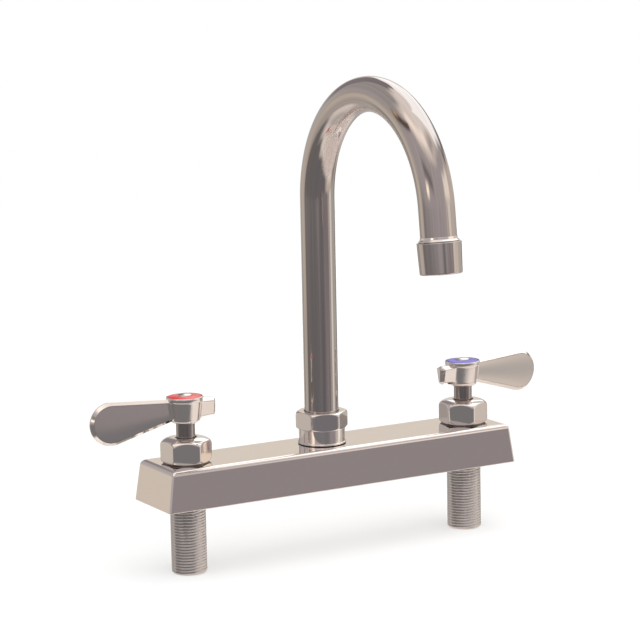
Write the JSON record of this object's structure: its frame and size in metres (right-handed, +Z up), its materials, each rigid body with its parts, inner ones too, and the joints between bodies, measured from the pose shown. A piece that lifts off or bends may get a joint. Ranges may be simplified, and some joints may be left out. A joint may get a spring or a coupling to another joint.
{
  "type": "deck-mount faucet",
  "caption": "Two-handle deck-mount faucet: polished bar body, swivel gooseneck spout with aerator, domed hexagon bonnets and quarter-turn lever handles.",
  "frame": {"origin": "middle of the body's underside, on the deck, midway between the two valve axes", "axes": "+Z up; +Y to the back, so the spout points along -Y at rest; +X to the cold side, the faucet's right seen from the front"},
  "size_m": [0.3256, 0.1796, 0.3057],
  "materials": {
    "chrome_plate": "polished chrome plate on brass",
    "plated_spindle": "plated, smooth turned",
    "machined_brass": "machined, unplated",
    "seal_rubber": "moulded, matte",
    "valve_ceramic": "lapped faces",
    "red_index": "glossy red moulding",
    "blue_index": "glossy blue moulding",
    "plated_screw": "plated steel, slotted",
    "glide_plastic": "natural white, slippery",
    "insert_plastic": "light grey moulding",
    "screen_steel": "fine woven mesh, drawn as a disc"
  },
  "bodies": {
    "base": {"body": "chrome_plate", "inlet_shank_hot": "chrome_plate", "inlet_shank_cold": "chrome_plate", "bonnet_washer_hot": "chrome_plate", "bonnet_washer_cold": "chrome_plate", "bonnet_hot": "chrome_plate", "bonnet_cold": "chrome_plate", "cartridge_hot": "machined_brass", "cartridge_cold": "machined_brass", "seat_seal_hot": "seal_rubber", "seat_seal_cold": "seal_rubber", "fixed_disc_hot": "valve_ceramic", "fixed_disc_cold": "valve_ceramic", "outlet_collar": "chrome_plate", "swivel_nut": "chrome_plate"},
    "hot_valve": {"spindle_hot": "plated_spindle", "turning_disc_hot": "valve_ceramic", "spindle_oring_hot": "seal_rubber", "handle_hot": "chrome_plate", "index_ring_hot": "red_index", "handle_screw_hot": "plated_screw"},
    "cold_valve": {"spindle_cold": "plated_spindle", "turning_disc_cold": "valve_ceramic", "spindle_oring_cold": "seal_rubber", "handle_cold": "chrome_plate", "index_ring_cold": "blue_index", "handle_screw_cold": "plated_screw"},
    "spout": {"spout_spigot": "machined_brass", "spout_orings": "seal_rubber", "glide_washer": "glide_plastic", "spout_tube": "chrome_plate", "outlet_fitting": "chrome_plate", "aerator_washer": "seal_rubber", "aerator_housing": "chrome_plate", "aerator_screen": "screen_steel", "aerator_insert": "insert_plastic"}
  },
  "joints": [
    {"name": "hot_handle", "type": "hinge", "parent": "base", "child": "hot_valve", "pos_m": [-0.1016, 0, 0.03], "axis": [0, 0, 1], "range_deg": [0, 90]},
    {"name": "cold_handle", "type": "hinge", "parent": "base", "child": "cold_valve", "pos_m": [0.1016, 0, 0.03], "axis": [0, 0, 1], "range_deg": [-90, 0]},
    {"name": "spout_swivel", "type": "hinge", "parent": "base", "child": "spout", "pos_m": [-0.005, 0, 0.035], "axis": [0, 0, 1], "continuous": true}
  ]
}
